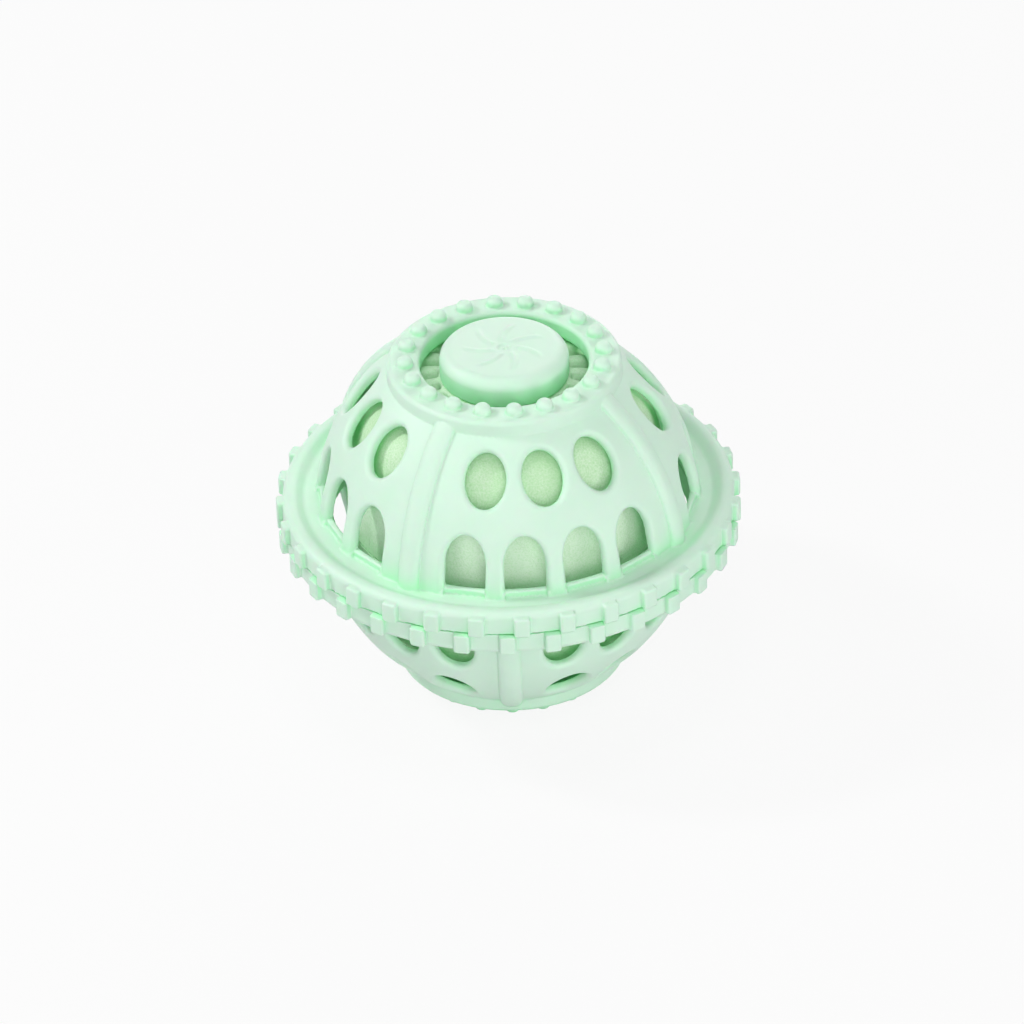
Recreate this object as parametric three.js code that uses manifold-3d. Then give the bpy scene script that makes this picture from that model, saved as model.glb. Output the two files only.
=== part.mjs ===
// Laundry ball: two identical slotted half shells close round a capsule of ceramic pellets.
// Millimetres, +Z up. The origin is the middle of the flat face that the ball stands on.
// Every piece of a half is drawn pole up, with the parting plane at z = 0, and then placed.
import * as THREE from 'three';
import { mergeVertices } from 'three/addons/utils/BufferGeometryUtils.js';
import Module from 'manifold-3d';

const wasm = await Module();
wasm.setup();

// Whole ball
const HALF_HEIGHT = 40.6; // parting plane to the face of a cap
const FIT_GAP = 0.3; // play between two pieces that touch
const HALF_TURN = 30; // degrees between the ribs of the two half shells

// Bumper flange and its teeth
const FLANGE_RADIUS = 48.6; // wall between the teeth
const FLANGE_HEIGHT = 5; // parting plane to the top of the rim
const RIM_WALL = 3.4;
const RIM_ROUND = 1.2;
const TROUGH_DEPTH = 1.2; // dish between the rim and the dome
const FLANGE_PLATE = 1.5; // thickness under the trough
const TOOTH_COUNT = 32;
const TOOTH_REACH = 1.4;
const TOOTH_WIDTH = 3.4;
const TOOTH_HEIGHT = 4.5;
const TOOTH_TAPER = 0.3; // each side, from root to tip

// Dome
const DOME_FOOT_RADIUS = 41.5;
const DOME_BULGE = 3.7; // rise of the dome over the straight line from foot to ring
const SHELL_WALL = 2.2;
const SECTORS = 4; // equal stretches between the ribs

// Windows of a sector: a row of ovals over a row of round-headed arches
const OVAL_ANGLES = [-22.5, 0, 22.5]; // degrees from the middle of the sector
const OVAL_WIDTH = 8.7;
const OVAL_HEIGHT = 12; // along the slope
const OVAL_MARGIN = 4; // along the slope, from the ring to an oval
const ARCH_ANGLES = [-27.75, -9.25, 9.25, 27.75];
const ARCH_WIDTH = 8.8;
const ARCH_HEIGHT = 11.6;
const ARCH_HEAD = 6.4; // height of the curved head
const SILL_HEIGHT = 1.5; // over the trough
const SILL_SETBACK = 1.1; // from the face of the pillars to the sill

// Ribs
const RIB_WIDTH = 4.8;
const RIB_PROUD = 1.5;

// Ring and knobs at the pole
const RING_DROP = 3.2; // face of a cap to the top of the ring
const RING_HEIGHT = 3; // outer wall
const RING_DEPTH = 4.2; // wall round the opening
const RING_WIDTH = 7;
const RING_LIP = 0.5; // overhang past the dome
const RING_ROUND = 0.6;
const KNOB_COUNT = 20;
const KNOB_RADIUS = 1.85;
const KNOB_HEIGHT = 2.1;
const KNOB_ROUND = 0.8;
const KNOB_EDGE = 3.8; // outer edge of the ring to a knob's middle

// Push joint of the half shells: each has four tongues and four pockets in its flange
const TONGUE_WIDTH = 6.8;
const TONGUE_DEPTH = 1.9; // past the parting plane
const POCKET_WEB = 1.5;

// Caps
const CAP_RADIUS = 13.8;
const CAP_ROUND = 2.8;
const CAP_SHOULDER = 3.1; // head past the plug
const CAP_WALL = 2;
const CAP_TOP = 2.6;
const PLUG_DEPTH = 7;

// Capsule
const CAPSULE_TURN = -3; // degrees about Z
const WATER_GAP = 4.2; // between a cap and the ring round it
const CAPSULE_SIDE_PLAY = 4.7; // to the shell, at the parting plane
const CAPSULE_PLAY = 0.5; // to the dome and the ring
const CAPSULE_SQUARENESS = 3; // exponent of the profile: 2 is an ellipse
const CAPSULE_WALL = 2;
const NECK_WALL = 2;
const SPIGOT_HEIGHT = 2.5;
const SLOT_COUNT = 20;
const SLOT_WIDTH = 2.4;
const SLOT_UNDER_RING = 1.5;

// Ceramic pellets, in two rings round the lower neck
const PELLET_RADIUS = 4.5;
const PELLETS_PER_RING = 13;
const PELLET_PLAY = 0.8; // to the cup, whose facets stand inside its true curve

// Facets
const SHELL_STEPS = 24;
const CAPSULE_STEPS = 20;
const CAP_STEPS = 20;
const DOME_STEPS = 3;
const DOME_INNER_STEPS = 2;
const CUP_STEPS = 5;
const CUP_INNER_STEPS = 3;
const ROUND_STEPS = 2;
const BALL_STEPS = [6, 4];
const KNOB_STEPS = 6;
const OVAL_STEPS = 5;
const ARCH_STEPS = 2;
const SEARCH_STEPS = 40;

// Places that follow from the sizes above
const PARTING = FIT_GAP / 2;
const RING_TOP = HALF_HEIGHT - RING_DROP;
const RING_BOTTOM = RING_TOP - RING_HEIGHT;
const RING_UNDERSIDE = RING_TOP - RING_DEPTH;
const RING_INNER = CAP_RADIUS + WATER_GAP;
const RING_OUTER = RING_INNER + RING_WIDTH;
const TROUGH = FLANGE_HEIGHT - TROUGH_DEPTH;
const CHANNEL_CEILING = TROUGH - FLANGE_PLATE;
const CHANNEL_INNER = DOME_FOOT_RADIUS;
const CHANNEL_OUTER = FLANGE_RADIUS - RIM_WALL;
const SECTOR_ANGLE = 360 / SECTORS;
const PLUG_RADIUS = CAP_RADIUS - CAP_SHOULDER;
const NECK_BORE = PLUG_RADIUS + FIT_GAP;
const NECK_OUTER = NECK_BORE + NECK_WALL;
const SEAT_RADIUS = CAP_RADIUS + FIT_GAP;

const radians = THREE.MathUtils.degToRad;
const { lerp } = THREE.MathUtils;
const point = (radius, height) => new THREE.Vector2(radius, height);
const slopeTo = (from, to) => Math.atan2(to.y - from.y, to.x - from.x); // below level is negative

// The dome's section is an arc from its foot in the trough to the underside of the ring.
const domeFoot = point(DOME_FOOT_RADIUS, TROUGH);
const domeTop = point(RING_OUTER - RING_LIP, RING_BOTTOM);
const domeChord = domeTop.clone().sub(domeFoot);
const domeRadius = (domeChord.lengthSq() / 4 + DOME_BULGE ** 2) / (2 * DOME_BULGE);
const inward = point(-domeChord.y, domeChord.x).setLength(domeRadius - DOME_BULGE);
const domeCentre = domeFoot.clone().lerp(domeTop, 0.5).add(inward);
const domeStart = slopeTo(domeCentre, domeFoot);
const domeEnd = slopeTo(domeCentre, domeTop);
const domeLength = domeRadius * (domeEnd - domeStart);

// A point of the dome's section, by its share of the way from the foot to the ring.
function domePoint(share, inset = 0) {
  const angle = lerp(domeStart, domeEnd, share);
  const reach = domeRadius - inset;
  return point(domeCentre.x + reach * Math.cos(angle), domeCentre.y + reach * Math.sin(angle));
}

// The radius inside the dome at a height, with a play to its inner face.
function domeInside(height, play) {
  const reach = domeRadius - SHELL_WALL - play;
  const rise = height - domeCentre.y;
  return domeCentre.x + Math.sqrt(Math.max(reach ** 2 - rise ** 2, 0));
}

// The capsule is a squared ball: as wide as the shell's foot lets it be, and as tall as brings it
// just under the rim of the ring's opening.
function squared(share) {
  return (1 - share ** CAPSULE_SQUARENESS) ** (1 / CAPSULE_SQUARENESS);
}

const CAPSULE_RADIUS = domePoint(0, SHELL_WALL).x - CAPSULE_SIDE_PLAY;
const CAPSULE_POLE = (RING_UNDERSIDE - CAPSULE_PLAY) / squared(RING_INNER / CAPSULE_RADIUS);

function capsuleRadius(height, inset = 0) {
  const ball = (CAPSULE_RADIUS - inset) * squared(Math.min(height / (CAPSULE_POLE - inset), 1));
  return Math.min(ball, domeInside(height, CAPSULE_PLAY + inset));
}

// The number between two limits where a rising test first holds.
function firstWhere(test, low, high) {
  for (let i = 0; i < SEARCH_STEPS; i++) {
    const middle = (low + high) / 2;
    if (test(middle)) high = middle;
    else low = middle;
  }
  return high;
}

function capsuleHeight(radius, inset = 0) {
  return firstWhere((height) => capsuleRadius(height, inset) < radius, 0, CAPSULE_POLE - inset);
}

const SEAT = capsuleHeight(SEAT_RADIUS);

// A closed solid from a geometry whose corners coincide.
function solid(geometry) {
  const bare = geometry.clone();
  bare.deleteAttribute('normal');
  bare.deleteAttribute('uv');
  const merged = mergeVertices(bare, 1e-4);
  const corners = merged.index.array;
  const triangles = [];
  for (let i = 0; i < corners.length; i += 3) {
    const [a, b, c] = corners.slice(i, i + 3);
    if (a !== b && b !== c && c !== a) triangles.push(a, b, c);
  }
  return new wasm.Manifold(new wasm.Mesh({
    numProp: 3,
    vertProperties: new Float32Array(merged.attributes.position.array),
    triVerts: new Uint32Array(triangles),
  }));
}

function geometryOf(body) {
  const mesh = body.getMesh();
  const geometry = new THREE.BufferGeometry();
  geometry.setAttribute('position', new THREE.BufferAttribute(mesh.vertProperties, 3));
  geometry.setIndex(new THREE.BufferAttribute(mesh.triVerts, 1));
  geometry.computeVertexNormals();
  return geometry;
}

// A closed section of (radius, height) points, going up on its outside, turned about Z.
// A flat facet, not an edge, lies over the X axis.
function turned(section, steps) {
  const lathe = new THREE.LatheGeometry([...section, section[0]], steps, Math.PI / steps);
  return solid(lathe.rotateX(Math.PI / 2));
}

// A flat outline stood up between two heights.
function raised(shape, bottom, top, curveSegments = 1) {
  const depth = top - bottom;
  return new THREE.ExtrudeGeometry(shape, { depth, bevelEnabled: false, curveSegments })
    .translate(0, 0, bottom);
}

// Copies of a geometry at angles about Z, in degrees, joined to a body or cut from it.
function joinAround(body, geometry, angles) {
  return angles.reduce((sum, angle) => sum.add(solid(geometry.clone().rotateZ(radians(angle)))), body);
}

function cutAround(body, geometry, angles) {
  return angles.reduce((sum, angle) => sum.subtract(solid(geometry.clone().rotateZ(radians(angle)))), body);
}

function evenly(count) {
  return Array.from({ length: count }, (_, i) => (i * 360) / count);
}

function inEverySector(angles) {
  return evenly(SECTORS).flatMap((start) => angles.map((angle) => start + SECTOR_ANGLE / 2 + angle));
}

// Dome, ring and flange of a half shell.
function shellSection() {
  const section = [point(FLANGE_RADIUS, PARTING)];
  for (let i = 0; i <= ROUND_STEPS; i++) {
    const angle = (i / ROUND_STEPS) * (Math.PI / 2);
    section.push(point(
      FLANGE_RADIUS - RIM_ROUND * (1 - Math.cos(angle)),
      FLANGE_HEIGHT - RIM_ROUND * (1 - Math.sin(angle)),
    ));
  }
  section.push(
    point(CHANNEL_OUTER + RIM_ROUND, FLANGE_HEIGHT),
    point((CHANNEL_OUTER + DOME_FOOT_RADIUS) / 2, TROUGH),
  );
  for (let i = 0; i <= DOME_STEPS; i++) section.push(domePoint(i / DOME_STEPS));
  section.push(
    point(RING_OUTER, RING_BOTTOM),
    point(RING_OUTER, RING_TOP - RING_ROUND),
    point(RING_OUTER - RING_ROUND, RING_TOP),
    point(RING_INNER, RING_TOP),
    point(RING_INNER, RING_UNDERSIDE),
  );
  for (let i = DOME_INNER_STEPS; i >= 0; i--) {
    section.push(domePoint(i / DOME_INNER_STEPS, SHELL_WALL));
  }
  section.push(
    point(domePoint(0, SHELL_WALL).x, PARTING),
    point(CHANNEL_INNER, PARTING),
    point(CHANNEL_INNER, CHANNEL_CEILING),
    point(CHANNEL_OUTER, CHANNEL_CEILING),
    point(CHANNEL_OUTER, PARTING),
  );
  return section;
}

// A bumper tooth, let into the rim, on the X axis.
function tooth() {
  const half = TOOTH_WIDTH / 2;
  const root = FLANGE_RADIUS - RIM_WALL / 2;
  const tip = FLANGE_RADIUS + TOOTH_REACH;
  const outline = new THREE.Shape([
    point(root, -half),
    point(tip, TOOTH_TAPER - half),
    point(tip, half - TOOTH_TAPER),
    point(root, half),
  ]);
  return raised(outline, PARTING, TOOTH_HEIGHT);
}

// A rib's line up the dome, over the X axis, from the trough into the wall of the ring.
class RibLine extends THREE.Curve {
  getPoint(share, target = new THREE.Vector3()) {
    const place = domePoint(share * (1 + RIB_PROUD / domeLength));
    return target.set(place.x, 0, place.y);
  }
}

function rib() {
  const half = RIB_WIDTH / 2;
  const shape = new THREE.Shape();
  shape.moveTo(-half, -SHELL_WALL / 2);
  shape.lineTo(half, -SHELL_WALL / 2);
  shape.absellipse(0, 0, half, RIB_PROUD, 0, Math.PI, false, 0);
  return new THREE.ExtrudeGeometry(shape, {
    steps: DOME_STEPS, extrudePath: new RibLine(), curveSegments: ROUND_STEPS,
  });
}

// An oval window is cut square to the dome, over the X axis.
function ovalCutter() {
  const share = 1 - (OVAL_MARGIN + OVAL_HEIGHT / 2) / domeLength;
  const place = domePoint(share);
  const shape = new THREE.Shape();
  shape.absellipse(0, 0, OVAL_HEIGHT / 2, OVAL_WIDTH / 2, 0, 2 * Math.PI, false, 0);
  return raised(shape, -2 * SHELL_WALL, 2 * SHELL_WALL, OVAL_STEPS)
    .rotateY(Math.PI / 2 - lerp(domeStart, domeEnd, share)).translate(place.x, 0, place.y);
}

// An arch window is cut straight outwards, from inside the dome to just past its foot.
function archCutter() {
  const half = ARCH_WIDTH / 2;
  const spring = ARCH_HEIGHT - ARCH_HEAD;
  const shape = new THREE.Shape();
  shape.moveTo(-half, 0);
  shape.lineTo(half, 0);
  shape.absellipse(0, spring, half, ARCH_HEAD, 0, Math.PI, false, 0);
  const pastFoot = (CHANNEL_OUTER - DOME_FOOT_RADIUS) / 3;
  return raised(shape, DOME_FOOT_RADIUS / 2, DOME_FOOT_RADIUS + pastFoot, ARCH_STEPS)
    .rotateX(Math.PI / 2).rotateZ(Math.PI / 2).translate(0, 0, TROUGH + SILL_HEIGHT);
}

// Under an arch the face of the wall is set back down to the trough, so the pillars stand proud.
function sillCutter() {
  const inner = DOME_FOOT_RADIUS - SILL_SETBACK;
  const outer = DOME_FOOT_RADIUS + SILL_SETBACK;
  return new THREE.BoxGeometry(outer - inner, ARCH_WIDTH, 2 * SILL_HEIGHT)
    .translate((outer + inner) / 2, 0, TROUGH + SILL_HEIGHT);
}

// A knob on the ring: a short peg with a rounded top.
function knob() {
  const foot = RING_TOP - RING_ROUND;
  const top = RING_TOP + KNOB_HEIGHT;
  return new THREE.LatheGeometry([
    point(0, foot),
    point(KNOB_RADIUS, foot),
    point(KNOB_RADIUS, top - KNOB_ROUND),
    point(KNOB_RADIUS - KNOB_ROUND, top),
    point(0, top),
  ], KNOB_STEPS).rotateX(Math.PI / 2).translate(RING_OUTER - KNOB_EDGE, 0, 0);
}

// A block in the channel under the flange, over the X axis, moved sideways.
function channelBlock(inner, outer, width, side, bottom) {
  const top = CHANNEL_CEILING + FLANGE_PLATE / 2;
  return new THREE.BoxGeometry(outer - inner, width, top - bottom)
    .translate((outer + inner) / 2, side, (top + bottom) / 2);
}

// Tongues under the ribs, and webs on both sides of the places that the other half's tongues enter.
function pushJoint(body) {
  const tongueOuter = Math.sqrt((CHANNEL_OUTER - FIT_GAP) ** 2 - (TONGUE_WIDTH / 2) ** 2);
  const tongue = channelBlock(CHANNEL_INNER + FIT_GAP, tongueOuter, TONGUE_WIDTH, 0, -TONGUE_DEPTH);
  const webSide = (TONGUE_WIDTH + POCKET_WEB) / 2 + FIT_GAP;
  let joined = joinAround(body, tongue, evenly(SECTORS));
  for (const side of [-webSide, webSide]) {
    const web = channelBlock(
      CHANNEL_INNER - SHELL_WALL / 2, CHANNEL_OUTER + RIM_WALL / 2, POCKET_WEB, side, PARTING);
    joined = joinAround(joined, web, evenly(SECTORS).map((angle) => angle + HALF_TURN));
  }
  return joined;
}

function halfShell() {
  let body = joinAround(turned(shellSection(), SHELL_STEPS), tooth(), evenly(TOOTH_COUNT));
  body = cutAround(body, ovalCutter(), inEverySector(OVAL_ANGLES));
  body = cutAround(body, archCutter(), inEverySector(ARCH_ANGLES));
  body = cutAround(body, sillCutter(), inEverySector(ARCH_ANGLES));
  body = joinAround(body, rib(), evenly(SECTORS));
  body = joinAround(body, knob(), evenly(KNOB_COUNT));
  return geometryOf(pushJoint(body));
}

// A cup of the capsule, with its filler neck at the pole. At the open edge one cup has a spigot,
// which enters the rebate of the other.
function capsuleCup(hasSpigot) {
  const section = [point(CAPSULE_RADIUS, PARTING)];
  for (let i = 1; i < CUP_STEPS; i++) {
    const height = SEAT * Math.sin((i / CUP_STEPS) * (Math.PI / 2));
    section.push(point(capsuleRadius(height), height));
  }
  section.push(
    point(SEAT_RADIUS, SEAT),
    point(NECK_BORE, SEAT),
    point(NECK_BORE, SEAT - PLUG_DEPTH),
    point(NECK_OUTER, SEAT - PLUG_DEPTH),
  );
  const roof = capsuleHeight(NECK_OUTER, CAPSULE_WALL);
  for (let i = CUP_INNER_STEPS; i > 0; i--) {
    const height = roof * Math.sin((i / CUP_INNER_STEPS) * (Math.PI / 2));
    section.push(point(capsuleRadius(height, CAPSULE_WALL), height));
  }
  const bore = CAPSULE_RADIUS - CAPSULE_WALL;
  const jointMiddle = CAPSULE_RADIUS - CAPSULE_WALL / 2;
  if (hasSpigot) {
    section.push(
      point(bore, -SPIGOT_HEIGHT),
      point(jointMiddle - PARTING, -SPIGOT_HEIGHT),
      point(jointMiddle - PARTING, PARTING),
    );
  } else {
    const rebate = SPIGOT_HEIGHT + FIT_GAP;
    section.push(
      point(capsuleRadius(rebate, CAPSULE_WALL), rebate),
      point(jointMiddle + PARTING, rebate),
      point(jointMiddle + PARTING, PARTING),
    );
  }
  const slotEnd = RING_INNER + SLOT_UNDER_RING;
  const slot = new THREE.BoxGeometry(slotEnd - SEAT_RADIUS, SLOT_WIDTH, 2 * PLUG_DEPTH)
    .translate((slotEnd + SEAT_RADIUS) / 2, 0, SEAT);
  return geometryOf(cutAround(turned(section, CAPSULE_STEPS), slot, evenly(SLOT_COUNT)));
}

// A cap: a round-edged head on a hollow plug that pushes into the neck.
function cap() {
  const hollow = PLUG_RADIUS - CAP_WALL;
  const plugEnd = SEAT + FIT_GAP - PLUG_DEPTH;
  const section = [
    point(0, HALF_HEIGHT - CAP_TOP),
    point(hollow, HALF_HEIGHT - CAP_TOP),
    point(hollow, plugEnd),
    point(PLUG_RADIUS, plugEnd),
    point(PLUG_RADIUS, SEAT + FIT_GAP),
    point(CAP_RADIUS, SEAT + FIT_GAP),
  ];
  for (let i = 0; i <= ROUND_STEPS; i++) {
    const angle = (i / ROUND_STEPS) * (Math.PI / 2);
    section.push(point(
      CAP_RADIUS - CAP_ROUND * (1 - Math.cos(angle)),
      HALF_HEIGHT - CAP_ROUND * (1 - Math.sin(angle)),
    ));
  }
  section.push(point(0, HALF_HEIGHT));
  return geometryOf(turned(section, CAP_STEPS));
}

// Middles of the pellets: one ring lies on the cup round the neck, and the next lies in its gaps.
function pelletPlaces() {
  const apart = 2 * PELLET_RADIUS + FIT_GAP;
  const inset = CAPSULE_WALL + PELLET_RADIUS + PELLET_PLAY;
  const step = Math.PI / PELLETS_PER_RING;
  const first = Math.max(apart / (2 * Math.sin(step)), NECK_OUTER + PELLET_RADIUS + FIT_GAP);
  const firstHeight = capsuleHeight(first, inset);
  const farEnough = (drop) => {
    const second = capsuleRadius(firstHeight - drop, inset);
    return first ** 2 + second ** 2 - 2 * first * second * Math.cos(step) + drop ** 2 > apart ** 2;
  };
  const drop = firstWhere(farEnough, 0, firstHeight);
  const rings = [
    { radius: first, height: firstHeight, turn: 0 },
    { radius: capsuleRadius(firstHeight - drop, inset), height: firstHeight - drop, turn: step },
  ];
  return rings.flatMap(({ radius, height, turn }) => evenly(PELLETS_PER_RING).map((angle) => (
    new THREE.Vector3(radius, 0, height).applyAxisAngle(new THREE.Vector3(0, 0, 1), radians(angle) + turn)
  )));
}

const mint = new THREE.MeshStandardMaterial({ color: 0xcdeed8, roughness: 0.55, metalness: 0 });
const grainedMint = new THREE.MeshStandardMaterial({ color: 0xd6f0d2, roughness: 0.8, metalness: 0 });
const ceramic = new THREE.MeshStandardMaterial({ color: 0xe6e2d8, roughness: 0.7, metalness: 0 });

function piece(name, geometry, material, place = new THREE.Vector3()) {
  const mesh = new THREE.Mesh(geometry, material);
  mesh.name = name;
  mesh.position.copy(place);
  return mesh;
}

const shellGeometry = halfShell();
const capGeometry = cap();
const pelletGeometry = geometryOf(solid(new THREE.SphereGeometry(PELLET_RADIUS, ...BALL_STEPS)));

const upperHalf = new THREE.Group();
upperHalf.position.z = HALF_HEIGHT;
upperHalf.rotation.z = -radians(HALF_TURN);
upperHalf.add(piece('upper_shell', shellGeometry, mint));

const lowerHalf = new THREE.Group();
lowerHalf.position.z = HALF_HEIGHT;
lowerHalf.rotation.x = Math.PI;
lowerHalf.add(piece('lower_shell', shellGeometry, mint));

const capsuleFoot = new THREE.Group();
capsuleFoot.rotation.x = Math.PI;
capsuleFoot.add(
  piece('capsule_lower', capsuleCup(true), grainedMint),
  piece('lower_cap', capGeometry, mint),
  ...pelletPlaces().map((place, i) => (
    piece(`pellet_${String(i + 1).padStart(2, '0')}`, pelletGeometry, ceramic, place)
  )),
);

const capsule = new THREE.Group();
capsule.position.z = HALF_HEIGHT;
capsule.rotation.z = radians(CAPSULE_TURN);
capsule.add(
  piece('capsule_upper', capsuleCup(false), grainedMint),
  piece('upper_cap', capGeometry, mint),
  capsuleFoot,
);

const laundryBall = new THREE.Group();
laundryBall.add(upperHalf, lowerHalf, capsule);

export default laundryBall;
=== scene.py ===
import math

import bpy
import numpy as np
from mathutils import Matrix, Vector


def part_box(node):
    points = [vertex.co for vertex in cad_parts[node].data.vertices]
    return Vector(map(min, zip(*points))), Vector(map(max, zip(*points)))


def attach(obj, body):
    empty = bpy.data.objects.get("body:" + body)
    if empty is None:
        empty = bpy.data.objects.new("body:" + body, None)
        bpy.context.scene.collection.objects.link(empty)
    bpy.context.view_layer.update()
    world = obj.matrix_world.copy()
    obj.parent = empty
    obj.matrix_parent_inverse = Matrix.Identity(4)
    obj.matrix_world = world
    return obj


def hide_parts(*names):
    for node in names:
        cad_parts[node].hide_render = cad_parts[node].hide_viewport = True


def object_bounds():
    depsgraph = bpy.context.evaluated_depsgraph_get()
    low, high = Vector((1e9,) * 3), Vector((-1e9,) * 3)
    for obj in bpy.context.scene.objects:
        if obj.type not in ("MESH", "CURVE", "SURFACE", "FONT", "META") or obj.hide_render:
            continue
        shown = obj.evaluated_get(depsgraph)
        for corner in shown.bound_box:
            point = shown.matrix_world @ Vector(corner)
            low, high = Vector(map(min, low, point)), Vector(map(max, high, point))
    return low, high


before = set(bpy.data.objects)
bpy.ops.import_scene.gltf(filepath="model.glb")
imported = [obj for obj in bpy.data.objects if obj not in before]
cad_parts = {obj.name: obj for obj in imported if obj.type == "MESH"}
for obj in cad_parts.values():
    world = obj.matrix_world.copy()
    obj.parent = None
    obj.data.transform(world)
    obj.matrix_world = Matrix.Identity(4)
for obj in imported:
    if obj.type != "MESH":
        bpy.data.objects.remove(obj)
cad_low, cad_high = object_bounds()

# Capsule
# Two cups moulded in stiff grained plastic, pushed together at the ball's middle by a stepped rim.
# Each has a neck for its cap, with slots round the neck that let the washing water through.
MM = 0.001
HALF_HEIGHT = (cad_high.z - cad_low.z) / 2 / MM  # parting plane to the face of a cap
FIT_GAP = 0.3
PARTING = FIT_GAP / 2
CAPSULE_TURN = -3  # degrees about Z
TURN_OVER = Matrix.Rotation(math.pi, 4, "X")
MIDDLE_PLACE = Matrix.Translation((0, 0, HALF_HEIGHT))
CAPSULE_TOP = MIDDLE_PLACE @ Matrix.Rotation(math.radians(CAPSULE_TURN), 4, "Z")
CAPSULE_FOOT = CAPSULE_TOP @ TURN_OVER

CUP_RADIUS = 34.6
CUP_POLE = 34.4
CUP_SQUARENESS = 3  # exponent of the profile: 2 is an ellipse
CUP_WALL = 2
CUP_EDGE = 0.3
NECK_BORE = 11
NECK_WALL = 2
NECK_DEPTH = 7
SEAT = 33.6  # height of the face that the cap sits on
SPIGOT_HEIGHT = 2.5
SLOT_COUNT = 20
SLOT_INNER = 14.1
SLOT_OUTER = 19.5
SLOT_WIDTH = 2  # half way through the wall
SLOT_DRAFT = 0.5  # each side, for each millimetre outwards
SLOT_ROUND = 0.6
CUP_CELL = 0.5
CUP_KEEP = 0.35  # share of the net's triangles that is kept


def fold(angle, count, start=0.0):
    """The angle from the nearest of evenly spaced rays."""
    step = 2 * math.pi / count
    return (angle - start + step / 2) % step - step / 2


def soft_box(offsets, halves, rounding):
    """Distance to a box with rounded edges, by the offsets from its middle."""
    beyond = [np.abs(offset) - half + rounding for offset, half in zip(offsets, halves)]
    outside = np.sqrt(sum(np.maximum(part, 0) ** 2 for part in beyond))
    deepest = beyond[0]
    for part in beyond[1:]:
        deepest = np.maximum(deepest, part)
    return outside + np.minimum(deepest, 0) - rounding


def round_join(a, b, radius):
    """Two forms joined with a fillet."""
    near = np.hypot(np.maximum(radius - a, 0), np.maximum(radius - b, 0))
    return np.maximum(radius, np.minimum(a, b)) - near


def round_cut(a, b, radius):
    """The first form less the second, with a rounded edge."""
    near = np.hypot(np.maximum(radius + a, 0), np.maximum(radius - b, 0))
    return np.minimum(-radius, np.maximum(a, -b)) + near


def grid_net(distance, low, high, cell):
    """Points and quads of a net over the surface where a distance is zero, one point to a grid cell."""
    axes = [np.arange(a - cell, b + 2 * cell, cell) for a, b in zip(low, high)]
    across, up = np.meshgrid(axes[1], axes[2], indexing="ij")
    field = np.stack([distance(np.full_like(across, x), across, up) for x in axes[0]])
    inside = field < 0
    corners = [(i, j, k) for i in (0, 1) for j in (0, 1) for k in (0, 1)]
    filled = np.zeros([n - 1 for n in field.shape], int)
    for corner in corners:
        filled += inside[tuple(slice(c, n - 1 + c) for c, n in zip(corner, field.shape))]
    cells = np.argwhere((filled > 0) & (filled < len(corners)))
    number = np.full(filled.shape, -1)
    number[tuple(cells.T)] = np.arange(len(cells))
    total = np.zeros(cells.shape)
    crossings = np.zeros((len(cells), 1))
    for corner in corners:
        for axis in range(3):
            if corner[axis]:
                continue
            start = cells + corner
            end = start.copy()
            end[:, axis] += 1
            first = field[tuple(start.T)]
            second = field[tuple(end.T)]
            crossed = (first < 0) != (second < 0)
            share = np.where(crossed, first / np.where(crossed, first - second, 1), 0)
            place = start.astype(float)
            place[:, axis] += share
            total += place * crossed[:, None]
            crossings += crossed[:, None]
    points = np.array([a[0] for a in axes]) + cell * total / crossings
    quads = []
    for axis in range(3):
        u, v = (axis + 1) % 3, (axis + 2) % 3
        first = inside[tuple(slice(None, -1) if i == axis else slice(1, -1) for i in range(3))]
        second = inside[tuple(slice(1, None) if i == axis else slice(1, -1) for i in range(3))]
        for change, order in ((first & ~second, 1), (second & ~first, -1)):
            found = np.argwhere(change)
            ring = []
            for du, dv in ((0, 0), (1, 0), (1, 1), (0, 1))[::order]:
                around = found.copy()
                around[:, u] += du
                around[:, v] += dv
                ring.append(number[tuple(around.T)])
            quads.append(np.stack(ring, axis=1))
    return points, np.concatenate(quads)


def slope(distance, points):
    """How a distance changes at points, along X, Y and Z."""
    step = 0.02
    total = np.zeros(points.shape)
    for corner in ((1, 1, 1), (1, -1, -1), (-1, 1, -1), (-1, -1, 1)):
        total += np.outer(distance(*(points + step * np.array(corner)).T), corner)
    return total / (4 * step)


def draw_on(distance, points, reach):
    """Moves points onto the surface where a distance is zero, by at most a reach at a time."""
    rounds = 3
    least_slope = 0.3
    for _ in range(rounds):
        steepest = slope(distance, points)
        length = np.maximum(np.linalg.norm(steepest, axis=1), least_slope)
        move = np.clip(distance(*points.T) / length, -reach, reach)
        points = points - steepest * (move / length)[:, None]
    return points


def thinned(points, quads, keep):
    """A net with fewer triangles, where the surface is flatter."""
    mesh = bpy.data.meshes.new("net")
    mesh.from_pydata(points.tolist(), [], quads.tolist())
    holder = bpy.data.objects.new("net", mesh)
    bpy.context.scene.collection.objects.link(holder)
    thin = holder.modifiers.new("thin", "DECIMATE")
    thin.ratio = keep
    thin.use_collapse_triangulate = True
    made = bpy.data.meshes.new_from_object(holder.evaluated_get(bpy.context.evaluated_depsgraph_get()))
    places = np.zeros(len(made.vertices) * 3)
    made.vertices.foreach_get("co", places)
    corners = np.zeros(len(made.loops), int)
    made.loops.foreach_get("vertex_index", corners)
    bpy.data.objects.remove(holder)
    bpy.data.meshes.remove(mesh)
    bpy.data.meshes.remove(made)
    return places.reshape(-1, 3), corners.reshape(-1, 3)


def moulded(distance, low, high, cell, keep):
    """Points, triangles and normals of a moulded form, in millimetres, from its distance."""
    points, quads = grid_net(distance, low, high, cell)
    points, triangles = thinned(draw_on(distance, points, cell / 2), quads, keep)
    points = draw_on(distance, points, cell / 2)
    normals = slope(distance, points)
    return points, triangles, normals / np.linalg.norm(normals, axis=1)[:, None]


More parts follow.
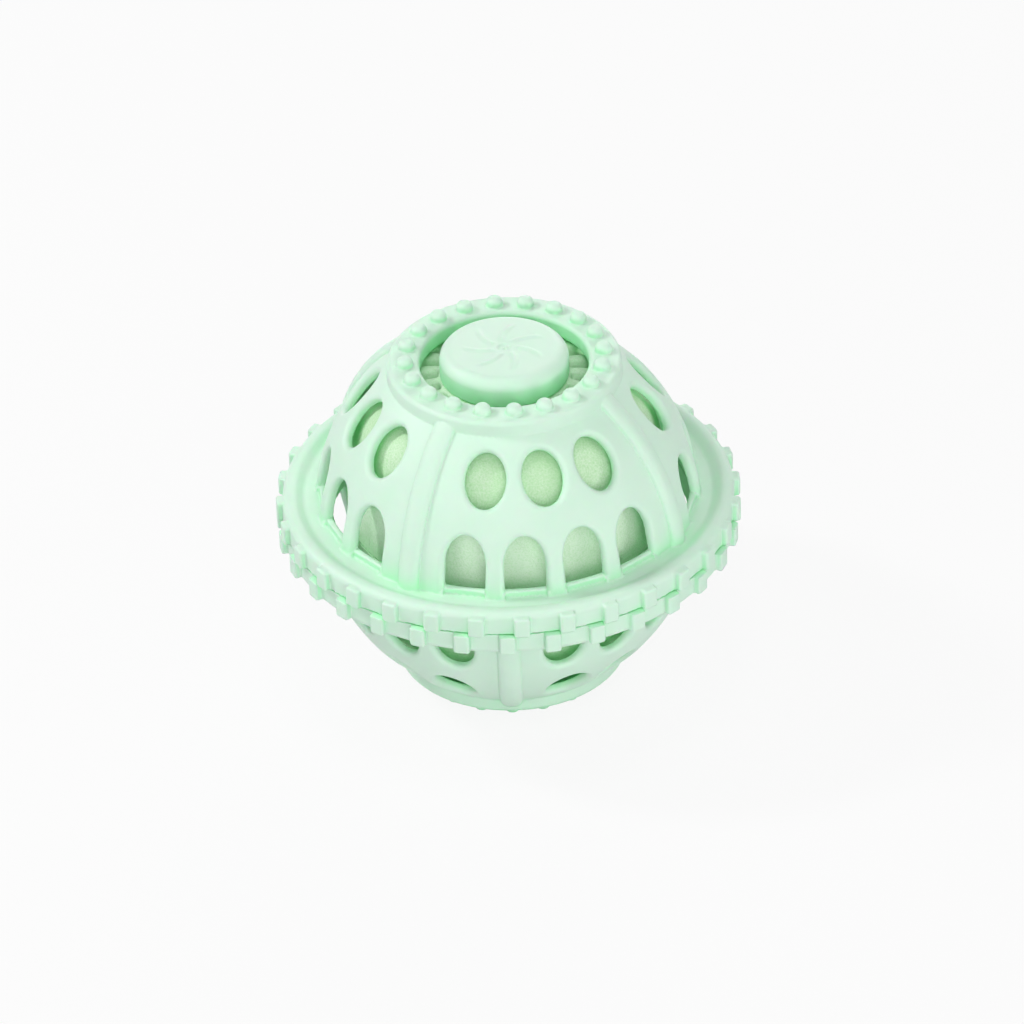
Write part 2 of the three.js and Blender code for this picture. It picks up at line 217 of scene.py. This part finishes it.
def set_piece(name, form, place, material):
    """A smooth object from a form in millimetres, set in its place."""
    points, triangles, normals = form
    turn = np.array(place.to_3x3())
    mesh = bpy.data.meshes.new(name)
    mesh.from_pydata(((points @ turn.T + np.array(place.translation)) * MM).tolist(), [], triangles.tolist())
    mesh.shade_smooth()
    mesh.normals_split_custom_set_from_vertices((normals @ turn.T).tolist())
    mesh.materials.append(material)
    piece = bpy.data.objects.new(name, mesh)
    bpy.context.scene.collection.objects.link(piece)
    return piece


def linear(colour):
    """An sRGB hex colour as linear red, green, blue and alpha."""
    shares = [int(colour[i:i + 2], 16) / 255 for i in (1, 3, 5)]
    return [s / 12.92 if s <= 0.04045 else ((s + 0.055) / 1.055) ** 2.4 for s in shares] + [1]


def new_material(name):
    material = bpy.data.materials.new(name)
    material.use_nodes = True
    material.node_tree.nodes.clear()
    return material


def add_node(owner, kind, inputs, **settings):
    """Adds a shader node. An input takes a plain value or the output of another node."""
    node = owner.node_tree.nodes.new(kind)
    for name, value in settings.items():
        setattr(node, name, value)
    for name, value in inputs.items():
        if isinstance(value, bpy.types.NodeSocket):
            owner.node_tree.links.new(value, node.inputs[name])
        else:
            node.inputs[name].default_value = value
    return node


def noise(owner, size, detail, roughness=0.5):
    """Noise that is fixed to the object, with features of a size in millimetres."""
    place = add_node(owner, "ShaderNodeTexCoord", {}).outputs["Object"]
    return add_node(owner, "ShaderNodeTexNoise", {
        "Vector": place, "Scale": 1 / (size * MM), "Detail": detail, "Roughness": roughness}).outputs["Fac"]


def ranged(owner, value, before, after):
    """A value carried from one range over to another, and held inside it."""
    return add_node(owner, "ShaderNodeMapRange", {
        "Value": value, "From Min": before[0], "From Max": before[1],
        "To Min": after[0], "To Max": after[1]}).outputs[0]


def combined(owner, operation, *values):
    """Numbers combined by an operation of the shader."""
    return add_node(owner, "ShaderNodeMath", dict(enumerate(values)), operation=operation).outputs[0]


def blend(owner, share, first, second):
    """A share of the way from one colour to another. Each is a hex colour or the output of a node."""
    first, second = (linear(colour) if isinstance(colour, str) else colour for colour in (first, second))
    return add_node(owner, "ShaderNodeMix", {"Factor": share, 6: first, 7: second}, data_type="RGBA").outputs[2]


def painted_green_shade_in_gaps(owner, tint, hollow, clear):
    """Painted shade: a tint that turns to a painted green shade colour in gaps and hollows, where ambient
    occlusion finds less than a clear share of the room open.
    """
    open_share = add_node(owner, "ShaderNodeAmbientOcclusion", {"Distance": GAP_REACH * MM}, samples=8)
    return blend(owner, ranged(owner, open_share.outputs["AO"], (0, clear), (0, 1)), hollow, tint)


def squared_ball(radius, height, wide, tall):
    """Distance to the capsule's profile, good near its surface."""
    u = radius / wide
    v = np.abs(height) / tall
    size = (u ** CUP_SQUARENESS + v ** CUP_SQUARENESS) ** (1 / CUP_SQUARENESS) + 1e-9
    power = CUP_SQUARENESS - 1
    return (size - 1) / np.hypot((u / size) ** power / wide, (v / size) ** power / tall)


def cup(has_spigot):
    """Distance to a cup, pole up: one cup's spigot enters the other's rebate."""
    joint_radius = CUP_RADIUS - CUP_WALL / 2

    def distance(x, y, z):
        radius = np.hypot(x, y)
        turn = fold(np.arctan2(y, x), SLOT_COUNT)
        over = squared_ball(radius, z, CUP_RADIUS, CUP_POLE)
        wall = round_cut(over, SEAT - z, CUP_EDGE)
        slot_half = SLOT_WIDTH / 2 + SLOT_DRAFT * (over + CUP_WALL / 2)
        slot = soft_box([radius * np.cos(turn) - (SLOT_INNER + SLOT_OUTER) / 2, radius * np.sin(turn)],
                        [(SLOT_OUTER - SLOT_INNER) / 2, slot_half], SLOT_ROUND)
        wall = round_cut(wall, slot, SLOT_ROUND)
        wall = np.maximum(wall, -squared_ball(radius, z, CUP_RADIUS - CUP_WALL, CUP_POLE - CUP_WALL))
        neck = soft_box([radius - NECK_BORE - NECK_WALL / 2, z - SEAT + NECK_DEPTH / 2],
                        [NECK_WALL / 2, NECK_DEPTH / 2], CUP_EDGE)
        body = round_join(wall, neck, 2 * CUP_EDGE)
        body = round_cut(body, radius - NECK_BORE, CUP_EDGE)
        body = round_cut(body, z - PARTING, PARTING)
        if has_spigot:
            width = CUP_WALL / 2 - PARTING
            spigot = soft_box([radius - joint_radius + PARTING + width / 2, z],
                              [width / 2, SPIGOT_HEIGHT], PARTING)
            return np.minimum(body, spigot)
        rebate = soft_box([radius, z], [joint_radius + PARTING, SPIGOT_HEIGHT + FIT_GAP], PARTING)
        return round_cut(body, rebate, PARTING)

    return distance


# Polypropylene from a spark-eroded mould: a fine even grain, dull, a little cloudy. Its colour has painted
# light near the joint and the crown, painted shade at the shoulder of the cups, and painted green shade in
# gaps.
CAPSULE_PALE = "#ECFDE9"
CAPSULE_DEEP = "#C4EBBB"
# painted green shade for the capsule's gaps and slots, and the open share below which it shows
CAPSULE_PAINTED_SHADE = "#A4FAB0"
CAPSULE_SHADE_CLEAR = 0.3
GAP_REACH = 9  # reach in millimetres of the occlusion that places the painted green shade in gaps
GRAIN = 0.42
CLOUD = 9
CLOUD_RANGE = (0.27, 0.73)
SPECKLE_RANGE = (0.1, 0.42)
SHOULDER = (13 * MM, 21 * MM)  # from the joint, up or down: painted light near the joint, painted shade at the shoulder
SHOULDER_PAINTED_SHADING = (0.4, -0.2)
# heights from the joint over which painted light turns the crown paler
CROWN = (29 * MM, 32 * MM)
CROWN_PAINTED_LIGHT = (0, 0.6)
grained_plastic = new_material("grained_polypropylene")
grain = noise(grained_plastic, GRAIN, 2, 0.6)
cloud = ranged(grained_plastic, noise(grained_plastic, CLOUD, 1), (0, 1), CLOUD_RANGE)
speckle = combined(grained_plastic, "MULTIPLY", grain, cloud)
place = add_node(grained_plastic, "ShaderNodeTexCoord", {}).outputs["Object"]
height = add_node(grained_plastic, "ShaderNodeSeparateXYZ", {0: place}).outputs["Z"]
from_joint = combined(grained_plastic, "SUBTRACT", height, HALF_HEIGHT * MM)
from_joint = combined(grained_plastic, "ABSOLUTE", from_joint)
grain_and_painted_shading = ranged(grained_plastic, speckle, SPECKLE_RANGE, (0, 1))
# painted light near the joint and at the crown, and painted shade at the shoulders, added to the grain's tone
for heights, painted_shading in ((SHOULDER, SHOULDER_PAINTED_SHADING), (CROWN, CROWN_PAINTED_LIGHT)):
    grain_and_painted_shading = combined(grained_plastic, "ADD", grain_and_painted_shading, ranged(grained_plastic, from_joint, heights, painted_shading))
tint = blend(grained_plastic, grain_and_painted_shading, CAPSULE_DEEP, CAPSULE_PALE)
# painted green shade in the capsule's gaps, slots and the hollows behind the windows, from ambient occlusion
tint = painted_green_shade_in_gaps(grained_plastic, tint, CAPSULE_PAINTED_SHADE, CAPSULE_SHADE_CLEAR)
dull = ranged(grained_plastic, grain, (0, 1), (0.75, 0.55))
relief = add_node(grained_plastic, "ShaderNodeBump", {"Height": grain, "Strength": 0.6, "Distance": 0.25 * MM})
surface = add_node(grained_plastic, "ShaderNodeBsdfPrincipled", {
    "Base Color": tint, "Roughness": dull, "Normal": relief.outputs[0], "IOR": 1.49})
add_node(grained_plastic, "ShaderNodeOutputMaterial", {"Surface": surface.outputs[0]})

cup_box = ((-CUP_RADIUS, -CUP_RADIUS, -SPIGOT_HEIGHT), (CUP_RADIUS, CUP_RADIUS, SEAT))
for name, has_spigot, place in (("capsule_upper", False, CAPSULE_TOP), ("capsule_lower", True, CAPSULE_FOOT)):
    piece = set_piece(f"grained_{name}", moulded(cup(has_spigot), *cup_box, CUP_CELL, CUP_KEEP), place,
                      grained_plastic)
    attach(piece, "capsule")
    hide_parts(name)

# Ceramic pellets
# Small fired balls that lie loose in the capsule and knock about in the wash. They are rolled from
# wet clay, so each is a little out of round, with shallow dents.
DENT_COUNT = 9
DENT_DEPTH = 0.35
DENT_WIDTHS = (0.25, 0.6)
OUT_OF_ROUND = 0.12
PELLET_CELL = 0.5
PELLET_KEEP = 0.6
SEED = 7

# Unglazed fired clay: dry, dull and faintly speckled.
CLAY_PALE = "#E9E4D8"
CLAY_SPECK = "#B9AD9B"
SPECK = 0.7
SPECK_RANGE = (0.6, 0.75)
clay = new_material("unglazed_ceramic")
specks = noise(clay, SPECK, 4, 0.7)
tint = blend(clay, ranged(clay, specks, SPECK_RANGE, (0, 1)), CLAY_PALE, CLAY_SPECK)
relief = add_node(clay, "ShaderNodeBump", {"Height": specks, "Strength": 0.4, "Distance": 0.2 * MM})
surface = add_node(clay, "ShaderNodeBsdfPrincipled", {
    "Base Color": tint, "Roughness": 0.85, "IOR": 1.5, "Normal": relief.outputs[0]})
add_node(clay, "ShaderNodeOutputMaterial", {"Surface": surface.outputs[0]})


def rolled_ball(radius, chance):
    """Distance to a pellet about its own middle, nowhere past its radius."""
    sway = chance.normal(size=3)
    dents = chance.normal(size=(DENT_COUNT, 3))
    dents /= np.linalg.norm(dents, axis=1)[:, None]
    widths = chance.uniform(*DENT_WIDTHS, DENT_COUNT)

    def distance(x, y, z):
        reach = np.sqrt(x ** 2 + y ** 2 + z ** 2) + 1e-9
        way = np.stack([x, y, z], axis=-1) / reach[..., None]
        depth = OUT_OF_ROUND * (1 + np.sin(2 * way @ sway))
        for dent, width in zip(dents, widths):
            depth = depth + DENT_DEPTH * width * np.exp((way @ dent - 1) / (width ** 2 / 2))
        return reach - radius + depth

    return distance


chance = np.random.default_rng(SEED)
for name in sorted(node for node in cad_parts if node.startswith("pellet_")):
    low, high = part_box(name)
    radius = (high.z - low.z) / 2 / MM
    ball_box = ((-radius,) * 3, (radius,) * 3)
    form = moulded(rolled_ball(radius, chance), *ball_box, PELLET_CELL, PELLET_KEEP)
    piece = set_piece(f"fired_{name}", form, Matrix.Translation((low + high) / 2 / MM), clay)
    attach(piece, "capsule")
    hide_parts(name)

# Caps
# A round-edged head on a hollow plug, moulded in one and pushed into the capsule's neck by hand.
# Its face has a shallow pinwheel of raised ridges round a dimple with a small pip.
CAP_RADIUS = 13.8
CAP_ROUND = 2.8
CAP_TOP = 2.6
CAP_EDGE = 0.3
PLUG_RADIUS = NECK_BORE - FIT_GAP
PLUG_WALL = 2
PLUG_END = SEAT + FIT_GAP - NECK_DEPTH
RELIEF = 0.3  # height of the ridges: their crests are the face that the ball stands on
RIDGE_COUNT = 7
RIDGE_INNER = 2
RIDGE_OUTER = 9.6
RIDGE_RISE = 1.2  # length of the inner end
RIDGE_FADE = 2.4  # length of the outer end
RIDGE_HALF = 1.1  # half of a ridge's width
RIDGE_SWIRL = 0.065  # radians that a ridge turns by for each millimetre outwards
RIDGE_START = 1.98  # angle that a ridge would have at the middle
DIMPLE_FLOOR = 0.8  # radius of the flat
DIMPLE_EDGE = 1.7  # radius of the edge
DIMPLE_DEPTH = 0.45
PIP_RADIUS = 0.55
PIP_HEIGHT = 0.27
CAP_CELL = 0.28
CAP_KEEP = 0.4


def ease(value, start, end):
    """Rises smoothly from 0 at the start to 1 at the end."""
    share = np.clip((value - start) / (end - start), 0, 1)
    return share * share * (3 - 2 * share)


def pinwheel(radius, angle):
    """Height of the ridges, the dimple and its pip over the ground of a cap's face."""
    across = np.abs(radius * fold(angle + RIDGE_SWIRL * radius, RIDGE_COUNT, RIDGE_START))
    rise = ease(radius, RIDGE_INNER, RIDGE_INNER + RIDGE_RISE)
    fade = 1 - ease(radius, RIDGE_OUTER - RIDGE_FADE, RIDGE_OUTER)
    ridge = RELIEF * rise * fade * (1 - ease(across, 0, RIDGE_HALF))
    dimple = DIMPLE_DEPTH * (1 - ease(radius, DIMPLE_FLOOR, DIMPLE_EDGE))
    pip = PIP_HEIGHT * (1 - ease(radius, 0, PIP_RADIUS))
    return ridge - dimple + pip


def cap(x, y, z):
    """Distance to a cap, pole up."""
    radius = np.hypot(x, y)
    face = HALF_HEIGHT - RELIEF + pinwheel(radius, np.arctan2(y, x))
    head = soft_box([radius, z - face + HALF_HEIGHT / 2], [CAP_RADIUS, HALF_HEIGHT / 2], CAP_ROUND)
    head = round_cut(head, z - SEAT - FIT_GAP, CAP_EDGE)
    plug = soft_box([radius, z - (HALF_HEIGHT + PLUG_END - CAP_TOP) / 2],
                    [PLUG_RADIUS, (HALF_HEIGHT - CAP_TOP - PLUG_END) / 2], CAP_EDGE)
    hollow = soft_box([radius, z], [PLUG_RADIUS - PLUG_WALL, HALF_HEIGHT - CAP_TOP], 2 * CAP_EDGE)
    return round_cut(round_join(head, plug, CAP_EDGE), hollow, CAP_EDGE)


# Thermoplastic elastomer from a polished mould: satin, with green light inside it, and a painted green shade
# where it sits in gaps.
CAP_PALE = "#DDF6E5"
CAP_DEEP = "#D3F4DE"
# painted green shade for the cap's sides in the ring's gap, and the open share below which it shows
CAP_PAINTED_SHADE = "#90F9AC"
CAP_SHADE_CLEAR = 0.65
FLOW = 7
LIGHT_INSIDE = {"Subsurface Weight": 0.5, "Subsurface Radius": (0.5, 1, 0.65), "Subsurface Scale": 0.8 * MM}
satin_mint = new_material("satin_elastomer")
flow = noise(satin_mint, FLOW, 2)
# painted green shade where the cap sits in gaps, on top of its random tone
tint = painted_green_shade_in_gaps(satin_mint, blend(satin_mint, flow, CAP_DEEP, CAP_PALE), CAP_PAINTED_SHADE, CAP_SHADE_CLEAR)
dull = ranged(satin_mint, flow, (0, 1), (0.42, 0.52))
surface = add_node(satin_mint, "ShaderNodeBsdfPrincipled", {
    "Base Color": tint, "Roughness": dull, "IOR": 1.5, **LIGHT_INSIDE})
add_node(satin_mint, "ShaderNodeOutputMaterial", {"Surface": surface.outputs[0]})

cap_box = ((-CAP_RADIUS, -CAP_RADIUS, PLUG_END), (CAP_RADIUS, CAP_RADIUS, HALF_HEIGHT))
cap_form = moulded(cap, *cap_box, CAP_CELL, CAP_KEEP)
for name, place in (("upper_cap", CAPSULE_TOP), ("lower_cap", CAPSULE_FOOT)):
    piece = set_piece(f"pinwheel_{name}", cap_form, place, satin_mint)
    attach(piece, name)
    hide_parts(name)

# Half shells
# Two identical mouldings in soft mint elastomer, one turned over: a dome with two rows of windows and
# four ribs, a ring of knobs at the pole, and a toothed bumper flange. Tongues hold the two together.
HALF_TURN = 30  # degrees between the ribs of the two half shells
FLANGE_RADIUS = 48.6
FLANGE_HEIGHT = 5
RIM_WALL = 3.4
RIM_ROUND = 1.5
TROUGH = 3.8
TROUGH_ROUND = 1.8
FOOT_FILLET = 0.3
CHANNEL_CEILING = 2.3
TOOTH_COUNT = 32
TOOTH_TIP = cad_high.x / MM
TOOTH_WIDTH = 3.4
TOOTH_HEIGHT = 4.5
TOOTH_ROUND = 0.5
DOME_FOOT = Vector((41.5, TROUGH))
DOME_TOP = Vector((24.5, 34.4))
DOME_BULGE = 3.7
SHELL_WALL = 2.2
SECTORS = 4
WINDOW_EDGE = 1.4  # outside
INNER_EDGE = 0.3
OVAL_ANGLES = (22.5, 45)  # degrees from the nearest rib
OVAL_WIDTH = 8.7
OVAL_HEIGHT = 12
OVAL_MARGIN = 4  # along the slope, from the ring to an oval
ARCH_ANGLES = (17.25, 35.75)
ARCH_WIDTH = 8.8
ARCH_HEIGHT = 11.6
ARCH_HEAD = 6.4
SILL = TROUGH + 1.5
SILL_SETBACK = 1.1  # from the face of the pillars to the sill
RIB_WIDTH = 4.8
RIB_PROUD = 1.5
RIB_FILLET = 0.15
RING_INNER = 18
RING_OUTER = 25
RING_TOP = 37.4
RING_UNDERSIDE = 33.2
RING_ROUND = 1.1
RING_FILLET = 0.15
KNOB_COUNT = 20
KNOB_PLACE = 21.2
KNOB_RADIUS = 1.8
KNOB_HEIGHT = 2.1
KNOB_ROUND = 1.3
KNOB_FILLET = 0.3
TONGUE_WIDTH = 6.8
TONGUE_DEPTH = 1.9
POCKET_WEB = 1.5
JOINT_ROUND = 0.25
RIM_GAP = 0.05  # from the parting plane, where the two rims lie on each other
SHELL_CELL = 0.5
SHELL_KEEP = 0.4

# The dome's section is an arc from its foot in the trough to the underside of the ring.
dome_chord = DOME_TOP - DOME_FOOT
dome_radius = (dome_chord.length_squared / 4 + DOME_BULGE ** 2) / (2 * DOME_BULGE)
dome_inward = Vector((-dome_chord.y, dome_chord.x)).normalized() * (dome_radius - DOME_BULGE)
dome_centre = (DOME_FOOT + DOME_TOP) / 2 + dome_inward
dome_end = math.atan2(DOME_TOP.y - dome_centre.y, DOME_TOP.x - dome_centre.x)
oval_slope = dome_end - (OVAL_MARGIN + OVAL_HEIGHT / 2) / dome_radius
oval_out = Vector((math.cos(oval_slope), math.sin(oval_slope)))
oval_place = dome_centre + oval_out * dome_radius


def oval(u, v, half_wide, half_tall):
    """Distance to an oval, good near its edge."""
    size = np.hypot(u / half_wide, v / half_tall) + 1e-9
    return size * (size - 1) / np.hypot(u / half_wide ** 2, v / half_tall ** 2)


def windows(body, radius, from_rib, z):
    """Cuts the ovals square to the dome and the arches straight outwards."""
    for angle in OVAL_ANGLES:
        turn = from_rib - math.radians(angle)
        out = radius * np.cos(turn) - oval_place.x
        along = (z - oval_place.y) * oval_out.x - out * oval_out.y
        hole = oval(radius * np.sin(turn), along, OVAL_WIDTH / 2, OVAL_HEIGHT / 2)
        body = round_cut(body, hole, WINDOW_EDGE)
    spring = SILL + ARCH_HEIGHT - ARCH_HEAD
    for angle in ARCH_ANGLES:
        side = radius * np.sin(from_rib - math.radians(angle))
        head = oval(side, z - spring, ARCH_WIDTH / 2, ARCH_HEAD)
        arch = np.where(z > spring, head, np.abs(side) - ARCH_WIDTH / 2)
        body = round_cut(body, np.maximum(arch, SILL - z), WINDOW_EDGE)
        face = radius * np.cos(from_rib - math.radians(angle)) - DOME_FOOT.x + SILL_SETBACK
        recess = np.maximum(soft_box([side, z - TROUGH], [ARCH_WIDTH / 2, SILL - TROUGH], INNER_EDGE), -face)
        body = round_cut(body, recess, INNER_EDGE)
    return body


def rib(radius, from_rib, z):
    """Distance to the half-round ribs, with a round nose against the ring."""
    out = radius * np.cos(from_rib) - dome_centre.x
    up = z - dome_centre.y
    past_end = np.maximum(dome_radius * (np.arctan2(up, out) - dome_end), 0)
    over = np.hypot(out, up) - dome_radius
    return oval(np.hypot(radius * np.sin(from_rib), past_end), over, RIB_WIDTH / 2, RIB_PROUD)


def flange(body, radius, angle, z):
    """Adds the plate, the rounded rim with a dished trough inside it, and the teeth."""
    plate_inner = DOME_FOOT.x - SHELL_WALL / 2
    plate_outer = FLANGE_RADIUS - RIM_WALL / 2
    plate = soft_box([radius - (plate_inner + plate_outer) / 2, z - (TROUGH + CHANNEL_CEILING) / 2],
                     [(plate_outer - plate_inner) / 2, (TROUGH - CHANNEL_CEILING) / 2], JOINT_ROUND)
    rim = soft_box([radius - FLANGE_RADIUS + RIM_WALL / 2, z], [RIM_WALL / 2, FLANGE_HEIGHT], RIM_ROUND)
    turn = fold(angle, TOOTH_COUNT)
    root = FLANGE_RADIUS - RIM_WALL / 2
    tooth = soft_box([radius * np.cos(turn) - (TOOTH_TIP + root) / 2, radius * np.sin(turn), z],
                     [(TOOTH_TIP - root) / 2, TOOTH_WIDTH / 2, TOOTH_HEIGHT], TOOTH_ROUND)
    body = round_join(round_join(body, plate, FOOT_FILLET), rim, TROUGH_ROUND)
    return round_join(body, tooth, JOINT_ROUND)


def push_joint(body, radius, angle, z):
    """Adds the tongues under the ribs, and webs beside the places that the other half's tongues enter."""
    inner = DOME_FOOT.x + FIT_GAP
    outer = math.sqrt((FLANGE_RADIUS - RIM_WALL - FIT_GAP) ** 2 - (TONGUE_WIDTH / 2) ** 2)
    turn = fold(angle, SECTORS)
    top = (TROUGH + CHANNEL_CEILING) / 2
    tongue = soft_box(
        [radius * np.cos(turn) - (inner + outer) / 2, radius * np.sin(turn), z - (top - TONGUE_DEPTH) / 2],
        [(outer - inner) / 2, TONGUE_WIDTH / 2, (top + TONGUE_DEPTH) / 2], JOINT_ROUND)
    turn = fold(angle, SECTORS, math.radians(HALF_TURN))
    side = np.abs(radius * np.sin(turn)) - TONGUE_WIDTH / 2 - FIT_GAP - POCKET_WEB / 2
    web = soft_box(
        [radius * np.cos(turn) - (inner + outer) / 2, side, z - (top + PARTING) / 2],
        [(outer - inner) / 2 + FIT_GAP, POCKET_WEB / 2, (top - PARTING) / 2], PARTING / 2)
    return np.minimum(np.minimum(body, tongue), web)


def half_shell(x, y, z):
    """Distance to a half shell, pole up."""
    radius = np.hypot(x, y)
    angle = np.arctan2(y, x)
    from_rib = np.abs(fold(angle, SECTORS))
    over = np.hypot(radius - dome_centre.x, z - dome_centre.y) - dome_radius
    body = windows(np.maximum(over, z - DOME_TOP.y), radius, from_rib, z)
    body = round_cut(body, over + SHELL_WALL, INNER_EDGE)
    body = round_join(body, rib(radius, from_rib, z), RIB_FILLET)
    ring = soft_box([radius - (RING_INNER + RING_OUTER) / 2, z - (RING_TOP + RING_UNDERSIDE) / 2],
                    [(RING_OUTER - RING_INNER) / 2, (RING_TOP - RING_UNDERSIDE) / 2], RING_ROUND)
    body = round_join(body, ring, RING_FILLET)
    turn = fold(angle, KNOB_COUNT)
    from_knob = np.hypot(radius * np.cos(turn) - KNOB_PLACE, radius * np.sin(turn))
    knob = soft_box([from_knob, z - RING_TOP], [KNOB_RADIUS, KNOB_HEIGHT], KNOB_ROUND)
    body = round_join(body, knob, KNOB_FILLET)
    body = flange(body, radius, angle, z)
    body = round_cut(body, z - RIM_GAP, RIM_GAP)
    return push_joint(body, radius, angle, z)


# Thermoplastic elastomer from a finely etched mould: soft satin, with green light inside its thin walls, and a
# painted green shade in its gaps and hollows.
SHELL_PALE = "#DDF6E5"
SHELL_DEEP = "#D3F4DE"
# painted green shade for the shell's gaps, trough, windows and the sides of its knobs, and the open share below
# which it shows
SHELL_PAINTED_SHADE = "#98F6B2"
SHELL_SHADE_CLEAR = 0.8
ETCH = 0.3
mint_elastomer = new_material("mint_elastomer")
flow = noise(mint_elastomer, FLOW, 2)
etch = noise(mint_elastomer, ETCH, 1)
tint = blend(mint_elastomer, flow, SHELL_DEEP, SHELL_PALE)
# painted green shade in the shell's gaps and hollows, from ambient occlusion
tint = painted_green_shade_in_gaps(mint_elastomer, tint, SHELL_PAINTED_SHADE, SHELL_SHADE_CLEAR)
dull = ranged(mint_elastomer, flow, (0, 1), (0.48, 0.58))
relief = add_node(mint_elastomer, "ShaderNodeBump", {"Height": etch, "Strength": 0.12, "Distance": 0.08 * MM})
surface = add_node(mint_elastomer, "ShaderNodeBsdfPrincipled", {
    "Base Color": tint, "Roughness": dull, "IOR": 1.5, "Normal": relief.outputs[0], **LIGHT_INSIDE})
add_node(mint_elastomer, "ShaderNodeOutputMaterial", {"Surface": surface.outputs[0]})

shell_box = ((-TOOTH_TIP, -TOOTH_TIP, -TONGUE_DEPTH), (TOOTH_TIP, TOOTH_TIP, HALF_HEIGHT))
shell_form = moulded(half_shell, *shell_box, SHELL_CELL, SHELL_KEEP)
UPPER_PLACE = MIDDLE_PLACE @ Matrix.Rotation(-math.radians(HALF_TURN), 4, "Z")
for name, place in (("lower_shell", MIDDLE_PLACE @ TURN_OVER), ("upper_shell", UPPER_PLACE)):
    piece = set_piece(f"mint_{name}", shell_form, place, mint_elastomer)
    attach(piece, name)
    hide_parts(name)

# Table, light and camera
# A white table top with no edge in view, soft lamps all round, the firmest at the upper left, and a
# long lens looking down.
FLOOR_SIZE = 6
FLOOR_SHADE = 0.1  # share of the table's own shading that a camera sees
FLOOR_GREY = "#DEDEDE"
WHITE = "#FFFFFF"
floor_mesh = bpy.data.meshes.new("table_top")
half = FLOOR_SIZE / 2
corners = [(-half, -half, 0), (half, -half, 0), (half, half, 0), (-half, half, 0)]
floor_mesh.from_pydata(corners, [], [(0, 1, 2, 3)])
floor = bpy.data.objects.new("table_top", floor_mesh)
bpy.context.scene.collection.objects.link(floor)


def seen_white(owner):
    """1 for rays that show the background: from the camera, by reflection or through glass."""
    rays = add_node(owner, "ShaderNodeLightPath", {}).outputs
    direct = combined(owner, "MAXIMUM", rays["Is Camera Ray"], rays["Is Glossy Ray"])
    return combined(owner, "MAXIMUM", direct, rays["Is Transmission Ray"])


table_white = new_material("white_table")
matt = add_node(table_white, "ShaderNodeBsdfDiffuse", {"Color": linear(FLOOR_GREY)})
glow = add_node(table_white, "ShaderNodeEmission", {"Color": linear(WHITE), "Strength": 1})
share = combined(table_white, "MULTIPLY", seen_white(table_white), 1 - FLOOR_SHADE)
mixed = add_node(table_white, "ShaderNodeMixShader", {0: share, 1: matt.outputs[0], 2: glow.outputs[0]})
add_node(table_white, "ShaderNodeOutputMaterial", {"Surface": mixed.outputs[0]})
floor_mesh.materials.append(table_white)

SKY_LOW = 0.12
SKY_HIGH = 0.26
world = bpy.data.worlds.new("studio")
world.use_nodes = True
world.node_tree.nodes.clear()
way = add_node(world, "ShaderNodeTexCoord", {}).outputs["Generated"]
up = add_node(world, "ShaderNodeSeparateXYZ", {0: way}).outputs["Z"]
lit = ranged(world, up, (0, 1), (SKY_LOW, SKY_HIGH))
level = ranged(world, seen_white(world), (0, 1), (lit, 1))
sky = add_node(world, "ShaderNodeBackground", {"Color": linear(WHITE), "Strength": level})
add_node(world, "ShaderNodeOutputWorld", {"Surface": sky.outputs[0]})
bpy.context.scene.world = world

middle = Vector((0, 0, HALF_HEIGHT * MM))


def add_lamp(name, toward, distance, size, watts):
    """A square soft lamp that looks at the middle of the ball from a direction."""
    light = bpy.data.lights.new(name, "AREA")
    light.size = size
    light.energy = watts
    lamp = bpy.data.objects.new(name, light)
    lamp.location = middle + Vector(toward).normalized() * distance
    lamp.rotation_euler = Vector(toward).to_track_quat("Z", "Y").to_euler()
    bpy.context.scene.collection.objects.link(lamp)


add_lamp("key_lamp", (-0.7, 0.1, 0.66), 0.8, 0.12, 2.6)
add_lamp("top_lamp", (0.0, -0.1, 1.0), 1.0, 0.3, 1.4)
add_lamp("left_lamp", (-0.6, -0.75, 0.38), 1.0, 0.4, 1.1)
add_lamp("lens_lamp", (0.05, -0.83, 0.56), 1.0, 0.4, 1.5)
add_lamp("front_lamp", (0.3, -0.92, 0.2), 1.0, 0.5, 2.2)
add_lamp("right_lamp", (0.85, -0.35, 0.18), 1.0, 0.6, 2.5)
add_lamp("back_lamp", (0.2, 0.9, 0.35), 1.0, 0.6, 3.0)

# The long lens, from the height and the side that the ball is seen from, with a slight lean.
AZIMUTH = 1.3
ELEVATION = 34.4
LEAN = 1.73
DISTANCE = 1.38
FOCAL_PIXELS = 6404
FRAME_PIXELS = 1024
BALL_PIXELS = (508.6, 503.9)  # where the middle of the ball is seen
side, rise = math.radians(AZIMUTH), math.radians(ELEVATION)
back = Vector((math.sin(side) * math.cos(rise), -math.cos(side) * math.cos(rise), math.sin(rise)))
turn = (-back).to_track_quat("-Z", "Y").to_matrix() @ Matrix.Rotation(-math.radians(LEAN), 3, "Z")
pixel = DISTANCE / FOCAL_PIXELS
aim = middle + turn.col[0] * (FRAME_PIXELS / 2 - BALL_PIXELS[0]) * pixel
aim -= turn.col[1] * (FRAME_PIXELS / 2 - BALL_PIXELS[1]) * pixel
camera_data = bpy.data.cameras.new("camera")
camera_data.lens = FOCAL_PIXELS * camera_data.sensor_width / FRAME_PIXELS
camera = bpy.data.objects.new("camera", camera_data)
camera.matrix_world = Matrix.Translation(aim + back * DISTANCE) @ turn.to_4x4()
bpy.context.scene.collection.objects.link(camera)
bpy.context.scene.camera = camera
bpy.context.scene.view_settings.view_transform = "Standard"
